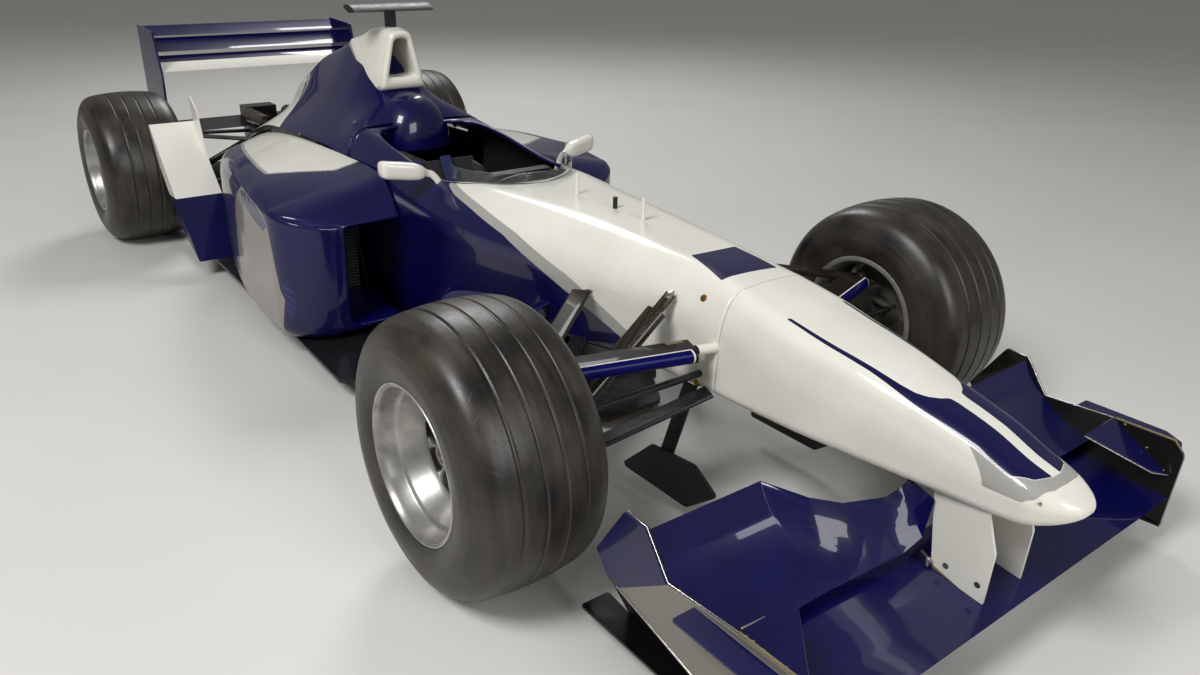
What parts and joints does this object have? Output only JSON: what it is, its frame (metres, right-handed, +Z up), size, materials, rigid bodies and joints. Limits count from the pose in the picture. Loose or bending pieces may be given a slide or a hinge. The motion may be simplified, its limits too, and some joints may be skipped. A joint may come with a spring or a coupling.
{
  "type": "open wheel racing car",
  "caption": "Single seat open wheel racing car with a hollow tub, front and rear wings, side pods, grooved tyres on spoked rims and linked steering.",
  "frame": {"origin": "on the ground under the middle of the car's outline box", "axes": "+X towards the nose, +Y to the car's left, +Z up"},
  "size_m": [4.624, 1.8, 1.0999],
  "materials": {
    "white_paint": "gloss clear coat over white",
    "navy_paint": "gloss clear coat over navy",
    "carbon": "satin woven carbon",
    "carbon_bronze": "clear coated carbon",
    "tyre_rubber": "worn grooved rubber",
    "rim_metal": "silver grey lacquered magnesium",
    "steel": "machined",
    "cast_metal": "cast housing",
    "fin_metal": "dark finned core",
    "wood_plank": "impregnated laminate",
    "clear_screen": "clear sheet",
    "black_plastic": "moulded",
    "seat_fabric": "woven cover",
    "exhaust_metal": "heat stained",
    "lamp_red": "red lens"
  },
  "bodies": {
    "root": {"monocoque": "white_paint", "nose_cone": "white_paint", "nose_pillars": "white_paint", "front_wing_main": "navy_paint", "front_wing_flaps": "navy_paint", "front_wing_endplates": "navy_paint", "sidepod_left": "navy_paint", "sidepod_right": "navy_paint", "radiators": "fin_metal", "engine_cover": "navy_paint", "airbox": "white_paint", "camera_pod": "black_plastic", "floor": "carbon", "plank": "wood_plank", "diffuser": "carbon", "engine_block": "cast_metal", "gearbox": "cast_metal", "crash_structure": "carbon", "rain_light": "lamp_red", "exhaust_pipes": "exhaust_metal", "rear_wing_upper": "navy_paint", "rear_wing_beam": "carbon", "rear_wing_endplates": "navy_paint", "flip_ups": "white_paint", "turning_vanes": "carbon", "bargeboards": "navy_paint", "mirrors": "white_paint", "windscreen": "clear_screen", "aerials": "black_plastic", "seat": "seat_fabric", "wishbones_front_upper": "carbon", "wishbones_front_lower": "carbon", "pushrods_front": "carbon_bronze", "wishbones_rear_upper": "carbon", "wishbones_rear_lower": "carbon", "pushrods_rear": "carbon", "uprights_rear": "cast_metal"},
    "knuckle_left": {"upright_front_left": "cast_metal"},
    "knuckle_right": {"upright_front_right": "cast_metal"},
    "rack": {"track_rods": "carbon"},
    "steering_wheel": {"steering_wheel": "black_plastic"},
    "wheel_front_left": {"tyre_front_left": "tyre_rubber", "rim_front_left": "rim_metal", "hub_front_left": "steel"},
    "wheel_front_right": {"tyre_front_right": "tyre_rubber", "rim_front_right": "rim_metal", "hub_front_right": "steel"},
    "wheel_rear_left": {"tyre_rear_left": "tyre_rubber", "rim_rear_left": "rim_metal", "hub_rear_left": "steel"},
    "wheel_rear_right": {"tyre_rear_right": "tyre_rubber", "rim_rear_right": "rim_metal", "hub_rear_right": "steel"}
  },
  "joints": [
    {"name": "steer_right", "type": "hinge", "parent": "root", "child": "knuckle_right", "pos_m": [1.322, -0.6, 0.195], "axis": [-0.0319, 0.0479, 0.9983], "range_deg": [-15, 15]},
    {"name": "steer_left", "type": "hinge", "parent": "root", "child": "knuckle_left", "pos_m": [1.322, 0.6, 0.195], "axis": [-0.0319, -0.0479, 0.9983], "range_deg": [-15, 15]},
    {"name": "rack_slide", "type": "slide", "parent": "root", "child": "rack", "axis": [0, 1, 0], "range_m": [-0.03, 0.03]},
    {"name": "steering_wheel_turn", "type": "hinge", "parent": "root", "child": "steering_wheel", "pos_m": [0.354, 0, 0.572], "axis": [-0.9511, 0, 0.309], "range_deg": [-135, 135]},
    {"name": "spin_front_right", "type": "hinge", "parent": "knuckle_right", "child": "wheel_front_right", "pos_m": [1.322, -0.7325, 0.325], "axis": [0, 1, 0], "continuous": true},
    {"name": "spin_front_left", "type": "hinge", "parent": "knuckle_left", "child": "wheel_front_left", "pos_m": [1.322, 0.7325, 0.325], "axis": [0, 1, 0], "continuous": true},
    {"name": "spin_rear_right", "type": "hinge", "parent": "root", "child": "wheel_rear_right", "pos_m": [-1.778, -0.7175, 0.33], "axis": [0, 1, 0], "continuous": true},
    {"name": "spin_rear_left", "type": "hinge", "parent": "root", "child": "wheel_rear_left", "pos_m": [-1.778, 0.7175, 0.33], "axis": [0, 1, 0], "continuous": true}
  ],
  "couplings": [
    {"joint": "steer_left", "follows": "steer_right", "ratio": 1},
    {"joint": "rack_slide", "follows": "steer_right", "m_per_rad": 0.11},
    {"joint": "steering_wheel_turn", "follows": "steer_right", "ratio": 8}
  ]
}
